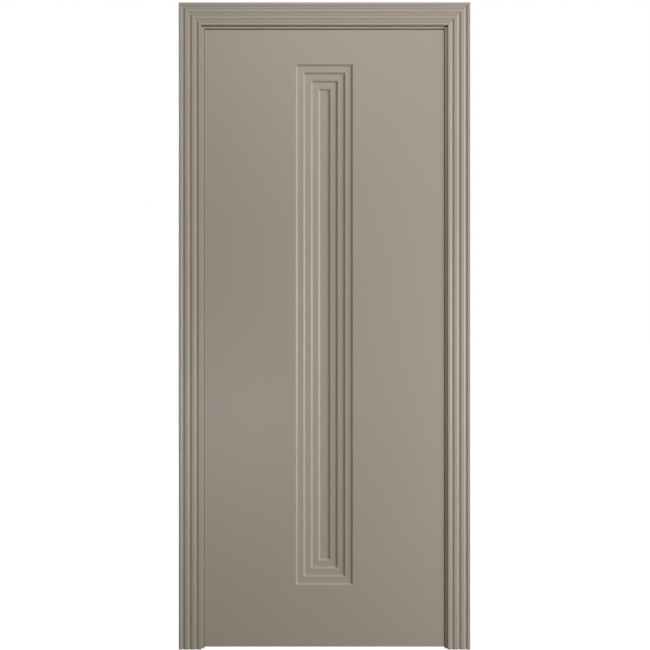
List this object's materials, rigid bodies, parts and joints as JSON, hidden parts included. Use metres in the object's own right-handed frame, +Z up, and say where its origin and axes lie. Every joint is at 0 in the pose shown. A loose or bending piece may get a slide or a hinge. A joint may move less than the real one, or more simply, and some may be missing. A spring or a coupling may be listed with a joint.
{
  "type": "interior door",
  "caption": "Flush painted interior door leaf with a tall sunk strip of nested steps, hinged in a rebated frame with a grooved, mitred casing.",
  "frame": {"origin": "on the floor, at the middle of the doorset's width and of its depth", "axes": "+Z up, +X to the right as one looks at the cased front, +Y from the front into the wall; the front faces -Y"},
  "size_m": [0.972, 0.1084, 2.156],
  "materials": {
    "leaf_paint": "satin warm grey enamel on faced board",
    "frame_paint": "satin warm grey enamel on timber",
    "casing_paint": "satin warm grey enamel on board",
    "hinge_steel": "satin plated steel"
  },
  "bodies": {
    "frame": {"jamb_left": "frame_paint", "jamb_right": "frame_paint", "jamb_head": "frame_paint", "casing_left": "casing_paint", "casing_right": "casing_paint", "casing_head": "casing_paint", "hinge_bottom_jamb": "hinge_steel", "hinge_middle_jamb": "hinge_steel", "hinge_top_jamb": "hinge_steel"},
    "leaf": {"leaf": "leaf_paint", "hinge_bottom_leaf": "hinge_steel", "hinge_middle_leaf": "hinge_steel", "hinge_top_leaf": "hinge_steel"}
  },
  "joints": [
    {"name": "leaf_hinge", "type": "hinge", "parent": "frame", "child": "leaf", "pos_m": [-0.4015, -0.04585, 1.037], "axis": [0, 0, -1], "range_deg": [0, 110]}
  ]
}
